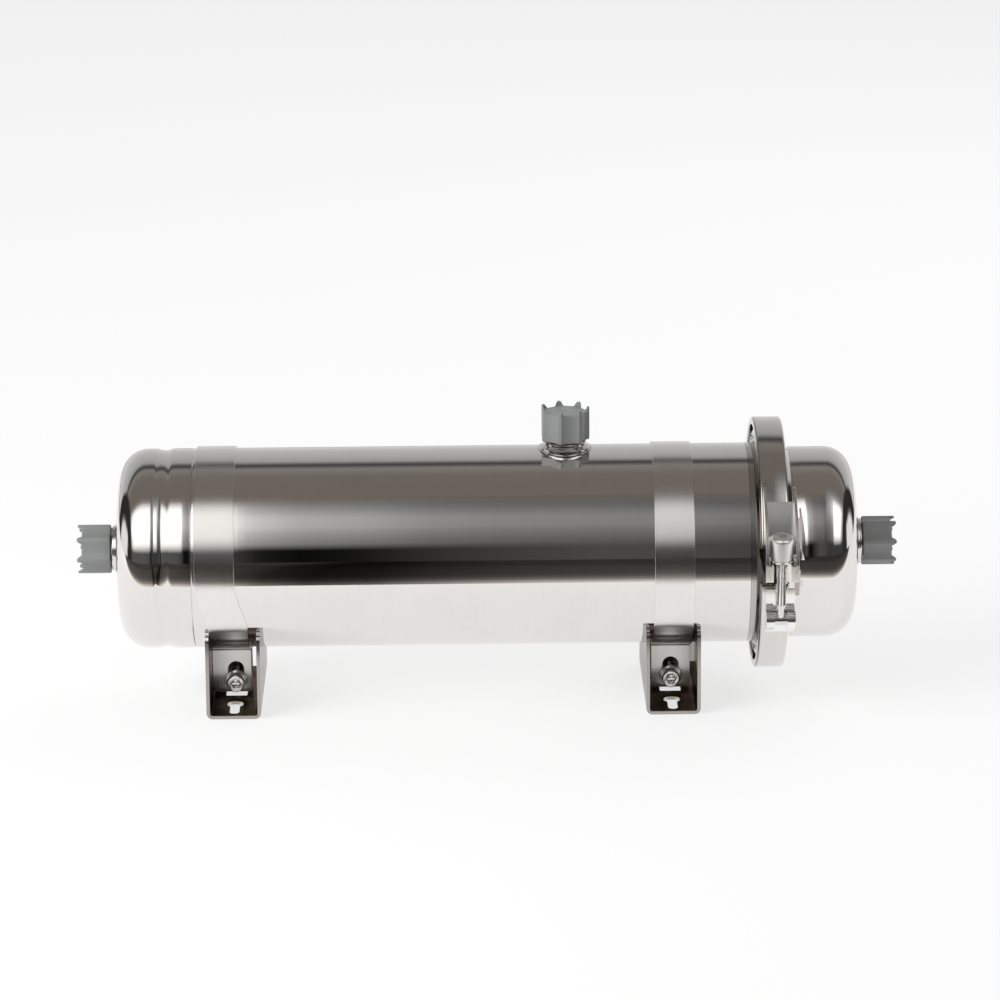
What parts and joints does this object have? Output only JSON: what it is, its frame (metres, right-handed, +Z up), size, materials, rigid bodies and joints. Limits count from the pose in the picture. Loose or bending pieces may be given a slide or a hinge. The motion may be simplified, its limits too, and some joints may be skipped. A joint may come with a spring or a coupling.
{
  "type": "ultrafiltration water filter",
  "caption": "Stainless steel in-line ultrafiltration filter: a polished tube with dished ends, a clamped end cap, capped threaded ports and strap-on feet.",
  "frame": {"origin": "centre of the rectangle of the feet's keyholes, on the underside of the feet", "axes": "+X along the tube towards the removable end cap, +Z up through the top port, -Y to the front with the clamp latch"},
  "size_m": [0.4603, 0.158, 0.167],
  "materials": {
    "polished_steel": "mirror polished stainless",
    "port_steel": "turned and polished stainless",
    "clamp_steel": "polished stainless strip",
    "bracket_steel": "pressed and tumbled stainless",
    "fastener_steel": "bright stainless fastener",
    "foot_steel": "polished stainless sheet",
    "satin_steel": "satin stainless strip",
    "grey_plastic": "moulded, fine grain",
    "white_plastic": "moulded",
    "seal_rubber": "smooth",
    "resin": "cast",
    "fibre": "hollow fibre"
  },
  "bodies": {
    "housing": {"shell_tube": "polished_steel", "fixed_end_head": "polished_steel", "end_cap_dome": "polished_steel", "shell_ferrule": "polished_steel", "end_cap_ferrule": "polished_steel", "inlet_port": "port_steel", "flush_port": "port_steel", "outlet_port": "port_steel", "clamp_band": "clamp_steel", "clamp_retainer_1": "clamp_steel", "clamp_retainer_2": "clamp_steel", "clamp_retainer_3": "clamp_steel", "upper_latch_bracket": "bracket_steel", "lower_latch_bracket": "bracket_steel", "left_foot": "foot_steel", "left_strap": "satin_steel", "left_strap_screw": "fastener_steel", "left_strap_washers": "fastener_steel", "left_strap_nut": "fastener_steel", "left_end_ring": "white_plastic", "left_seal_ring": "seal_rubber", "left_potting_disc": "resin", "right_foot": "foot_steel", "right_strap": "satin_steel", "right_strap_screw": "fastener_steel", "right_strap_washers": "fastener_steel", "right_strap_nut": "fastener_steel", "right_end_ring": "white_plastic", "right_seal_ring": "seal_rubber", "right_potting_disc": "resin", "flange_gasket": "seal_rubber", "fibre_bundle": "fibre", "guard_sleeve": "white_plastic"},
    "latch_bolt": {"latch_tee_bolt": "fastener_steel"},
    "latch_washer_body": {"latch_washer": "fastener_steel"},
    "latch_nut_body": {"latch_nut": "fastener_steel"},
    "inlet_disc_body": {"inlet_cap_disc": "seal_rubber"},
    "inlet_cap_body": {"inlet_cap": "grey_plastic"},
    "flush_disc_body": {"flush_cap_disc": "seal_rubber"},
    "flush_cap_body": {"flush_cap": "grey_plastic"},
    "outlet_disc_body": {"outlet_cap_disc": "seal_rubber"},
    "outlet_cap_body": {"outlet_cap": "grey_plastic"}
  },
  "joints": [
    {"name": "latch_swing", "type": "hinge", "parent": "housing", "child": "latch_bolt", "pos_m": [0.1802, -0.07325, 0.06391], "axis": [1, 0, 0], "range_deg": [0, 100]},
    {"name": "latch_nut_travel", "type": "slide", "parent": "latch_bolt", "child": "latch_washer_body", "axis": [0, -0.165, 0.9863], "range_m": [0, 0.00641]},
    {"name": "latch_nut_turn", "type": "hinge", "parent": "latch_washer_body", "child": "latch_nut_body", "pos_m": [0.1802, -0.07922, 0.09961], "axis": [0, -0.165, 0.9863], "range_deg": [0, 2880]},
    {"name": "inlet_cap_travel", "type": "slide", "parent": "housing", "child": "inlet_disc_body", "axis": [-1, 0, 0], "range_m": [0, 0.00908]},
    {"name": "inlet_cap_turn", "type": "hinge", "parent": "inlet_disc_body", "child": "inlet_cap_body", "pos_m": [-0.1917, 0, 0.087], "axis": [-1, 0, 0], "range_deg": [0, 1800]},
    {"name": "flush_cap_travel", "type": "slide", "parent": "housing", "child": "flush_disc_body", "axis": [1, 0, 0], "range_m": [0, 0.00908]},
    {"name": "flush_cap_turn", "type": "hinge", "parent": "flush_disc_body", "child": "flush_cap_body", "pos_m": [0.231, 0, 0.087], "axis": [1, 0, 0], "range_deg": [0, 1800]},
    {"name": "outlet_cap_travel", "type": "slide", "parent": "housing", "child": "outlet_disc_body", "axis": [0, 0, 1], "range_m": [0, 0.00908]},
    {"name": "outlet_cap_turn", "type": "hinge", "parent": "outlet_disc_body", "child": "outlet_cap_body", "pos_m": [0.0637, 0, 0.1482], "axis": [0, 0, 1], "range_deg": [0, 1800]}
  ],
  "couplings": [
    {"joint": "latch_nut_travel", "follows": "latch_nut_turn", "m_per_rad": 0.00012732},
    {"joint": "inlet_cap_travel", "follows": "inlet_cap_turn", "m_per_rad": 0.00028871},
    {"joint": "flush_cap_travel", "follows": "flush_cap_turn", "m_per_rad": 0.00028871},
    {"joint": "outlet_cap_travel", "follows": "outlet_cap_turn", "m_per_rad": 0.00028871}
  ]
}
